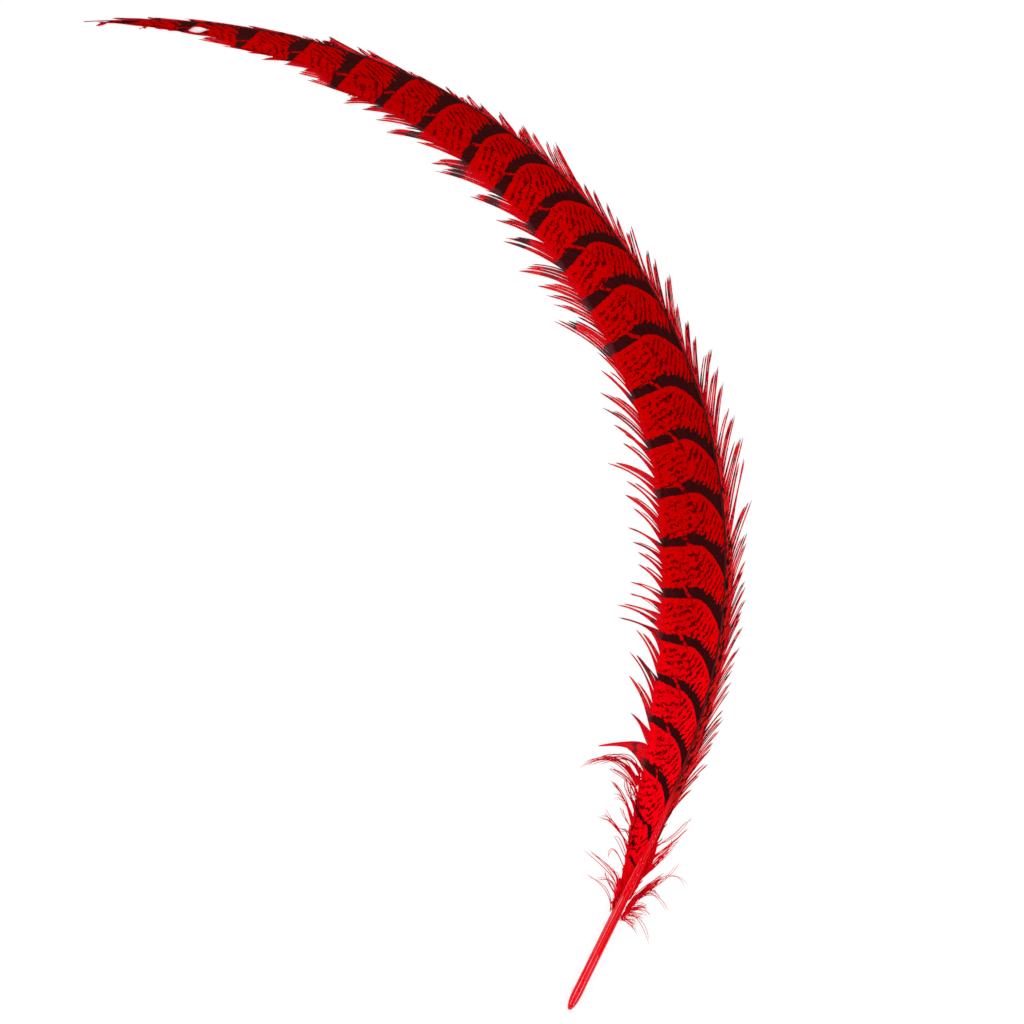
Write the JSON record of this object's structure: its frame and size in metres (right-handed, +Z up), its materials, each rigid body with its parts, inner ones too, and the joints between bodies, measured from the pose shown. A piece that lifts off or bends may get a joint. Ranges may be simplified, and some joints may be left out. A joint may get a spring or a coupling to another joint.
{
  "type": "pheasant tail feather",
  "caption": "Long curved barred tail feather with a bare quill, a wide and a narrow vane and a tuft of down, lying flat with its upper side up.",
  "frame": {"origin": "middle of the feather's outline, on the surface it lies on", "axes": "+Y along the longer side of the outline, towards the tip's end; +X towards the outside of the bend; +Z up, out of the feather's upper side"},
  "size_m": [0.3771, 0.5581, 0.0064],
  "materials": {
    "shaft": "smooth horn-like keratin, dyed red, glossy",
    "vane": "fine silky barbs, dyed red with brown-black bars",
    "down": "soft loose down, dyed red"
  },
  "bodies": {
    "root": {"shaft": "shaft", "wide_vane": "vane", "narrow_vane": "vane", "down_tuft": "down"}
  },
  "joints": []
}
